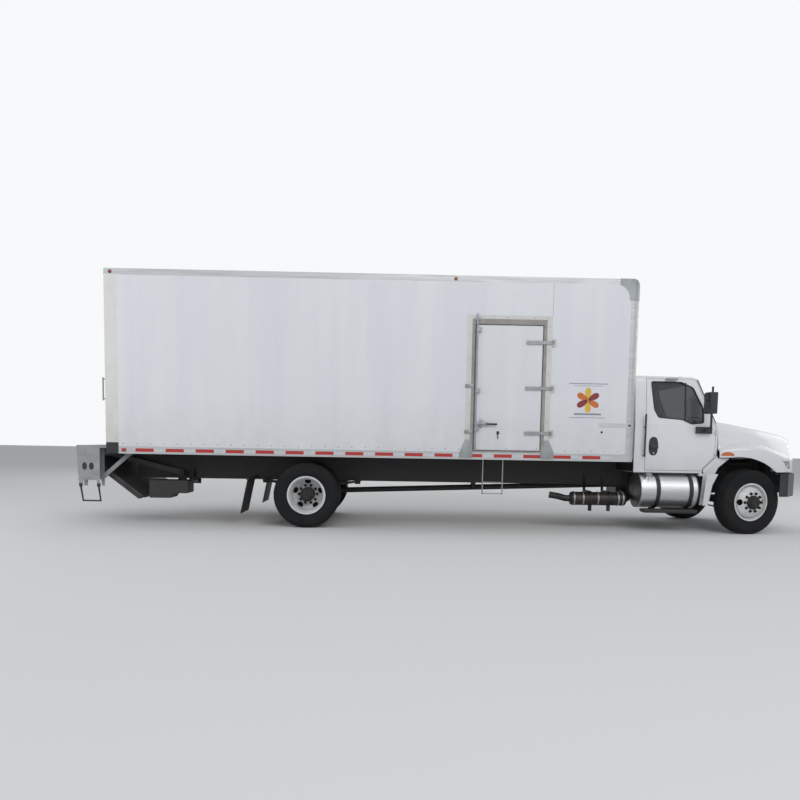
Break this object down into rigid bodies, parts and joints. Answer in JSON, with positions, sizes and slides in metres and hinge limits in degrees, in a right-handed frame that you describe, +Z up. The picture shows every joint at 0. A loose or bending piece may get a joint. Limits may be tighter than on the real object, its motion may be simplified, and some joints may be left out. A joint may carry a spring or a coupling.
{
  "type": "box truck",
  "caption": "Medium-duty box truck: conventional cab with a tilting hood, long dry-freight body with a side door, roll-up rear door, dual rear wheels and a tuck-under lift gate.",
  "frame": {"origin": "on the ground, midway along and across the truck", "axes": "+X towards the front bumper, +Y to the truck's left, +Z up"},
  "size_m": [11.53, 2.78, 3.884],
  "materials": {
    "cab_white": "gloss paint",
    "body_white": "satin paint",
    "rail_grey": "mill finish",
    "roof_skin": "translucent white skin",
    "post_white": "gloss paint",
    "chassis_black": "satin chassis paint",
    "axle_grey": "painted casting",
    "engine_grey": "painted casting",
    "tank_aluminium": "polished",
    "strap_black": "satin",
    "wheel_white": "gloss paint",
    "tyre_black": "matt rubber",
    "plastic_black": "grained plastic",
    "bumper_grey": "moulded plastic",
    "grille_black": "moulded plastic",
    "lamp_clear": "clear moulded lens",
    "window_glass": "lightly tinted",
    "floor_wood": "laminated hardwood",
    "zinc_steel": "zinc plated",
    "door_white": "satin paint",
    "lift_grey": "grey paint",
    "flap_black": "rubber sheet",
    "seat_fabric": "woven",
    "dash_grey": "grained plastic"
  },
  "bodies": {
    "chassis": {"chassis_frame": "chassis_black", "leaf_springs": "axle_grey", "front_axle_beam": "axle_grey", "rear_axle_housing": "axle_grey", "engine": "engine_grey", "driveshaft": "axle_grey", "fuel_tank": "tank_aluminium", "tank_mounts": "strap_black", "battery_box": "plastic_black", "exhaust_canister": "zinc_steel", "mud_flaps": "flap_black", "front_bumper": "bumper_grey", "box_underframe": "chassis_black", "box_floor": "floor_wood", "wall_right": "body_white", "wall_left": "body_white", "wall_front": "body_white", "box_rails": "rail_grey", "corner_caps": "rail_grey", "box_roof": "roof_skin", "rear_frame": "post_white", "rollup_door": "door_white", "side_door_frame": "rail_grey", "side_step": "zinc_steel", "grab_handles": "zinc_steel", "cab_shell": "cab_white", "cab_glass": "window_glass", "seats": "seat_fabric", "dashboard": "dash_grey", "splash_panels": "cab_white", "lift_frame": "lift_grey", "pump_box": "lift_grey"},
    "knuckle_right": {"knuckle_right": "axle_grey"},
    "knuckle_left": {"knuckle_left": "axle_grey"},
    "tie_rod": {"tie_rod": "axle_grey"},
    "front_wheel_right": {"front_wheel_right": "wheel_white", "front_tyre_right": "tyre_black"},
    "front_wheel_left": {"front_wheel_left": "wheel_white", "front_tyre_left": "tyre_black"},
    "rear_wheels_right": {"rear_wheels_right": "wheel_white", "rear_tyres_right": "tyre_black"},
    "rear_wheels_left": {"rear_wheels_left": "wheel_white", "rear_tyres_left": "tyre_black"},
    "cab_door_right": {"door_right": "cab_white", "door_glass_right": "window_glass", "mirror_right": "plastic_black"},
    "cab_door_left": {"door_left": "cab_white", "door_glass_left": "window_glass", "mirror_left": "plastic_black"},
    "hood": {"hood": "cab_white", "headlamps": "lamp_clear", "grille": "grille_black"},
    "side_door": {"side_door": "door_white", "side_door_hardware": "zinc_steel"},
    "lift_arms": {"lift_arms": "lift_grey"},
    "lift_carriage": {"lift_carriage": "lift_grey"},
    "lift_platform": {"lift_platform": "lift_grey"},
    "lift_flap": {"lift_flap": "lift_grey"}
  },
  "joints": [
    {"name": "steer_right", "type": "hinge", "parent": "chassis", "child": "knuckle_right", "pos_m": [4.694, -0.88, 0.508], "axis": [0, 0, 1], "range_deg": [-44, 20]},
    {"name": "steer_left", "type": "hinge", "parent": "chassis", "child": "knuckle_left", "pos_m": [4.694, 0.88, 0.508], "axis": [0, 0, 1], "range_deg": [-44, 20]},
    {"name": "tie_rod_swing", "type": "hinge", "parent": "knuckle_right", "child": "tie_rod", "pos_m": [4.47881, -0.92574, 0.385], "axis": [0, 0, 1], "range_deg": [-20, 44]},
    {"name": "front_right_spin", "type": "hinge", "parent": "knuckle_right", "child": "front_wheel_right", "pos_m": [4.73766, -1.08541, 0.508], "axis": [-0.2079, 0.9781, 0], "continuous": true},
    {"name": "front_left_spin", "type": "hinge", "parent": "knuckle_left", "child": "front_wheel_left", "pos_m": [4.65034, 1.08541, 0.508], "axis": [-0.2079, 0.9781, 0], "continuous": true},
    {"name": "rear_right_spin", "type": "hinge", "parent": "chassis", "child": "rear_wheels_right", "pos_m": [-2.215, -0.93, 0.508], "axis": [0, 1, 0], "continuous": true},
    {"name": "rear_left_spin", "type": "hinge", "parent": "chassis", "child": "rear_wheels_left", "pos_m": [-2.215, 0.93, 0.508], "axis": [0, 1, 0], "continuous": true},
    {"name": "cab_door_right_swing", "type": "hinge", "parent": "chassis", "child": "cab_door_right", "pos_m": [4.238, -1.035, 1.7], "axis": [0, 0, 1], "range_deg": [0, 70]},
    {"name": "cab_door_left_swing", "type": "hinge", "parent": "chassis", "child": "cab_door_left", "pos_m": [4.238, 1.035, 1.7], "axis": [0, 0, -1], "range_deg": [0, 70]},
    {"name": "hood_tilt", "type": "hinge", "parent": "chassis", "child": "hood", "pos_m": [5.7, 0, 0.8], "axis": [0, 1, 0], "range_deg": [0, 70]},
    {"name": "side_door_swing", "type": "hinge", "parent": "chassis", "child": "side_door", "pos_m": [1.537, -1.323, 2.21], "axis": [0, 0, 1], "range_deg": [0, 175]},
    {"name": "lift_arms_swing", "type": "hinge", "parent": "chassis", "child": "lift_arms", "pos_m": [-4.35, 0, 0.8], "axis": [0, -1, 0], "range_deg": [0, 48]},
    {"name": "lift_carriage_level", "type": "hinge", "parent": "lift_arms", "child": "lift_carriage", "pos_m": [-5.64976, 0, 1.13], "axis": [0, -1, 0], "range_deg": [-48, 0]},
    {"name": "platform_fold", "type": "hinge", "parent": "lift_carriage", "child": "lift_platform", "pos_m": [-5.69776, 0, 1.137], "axis": [0, 1, 0], "range_deg": [0, 144]},
    {"name": "flap_fold", "type": "hinge", "parent": "lift_platform", "child": "lift_flap", "pos_m": [-4.85604, 0, 0.41049], "axis": [0, -1, 0], "range_deg": [0, 180]}
  ],
  "couplings": [
    {"joint": "steer_left", "follows": "steer_right", "ratio": 1},
    {"joint": "tie_rod_swing", "follows": "steer_right", "ratio": -1},
    {"joint": "lift_carriage_level", "follows": "lift_arms_swing", "ratio": -1}
  ]
}
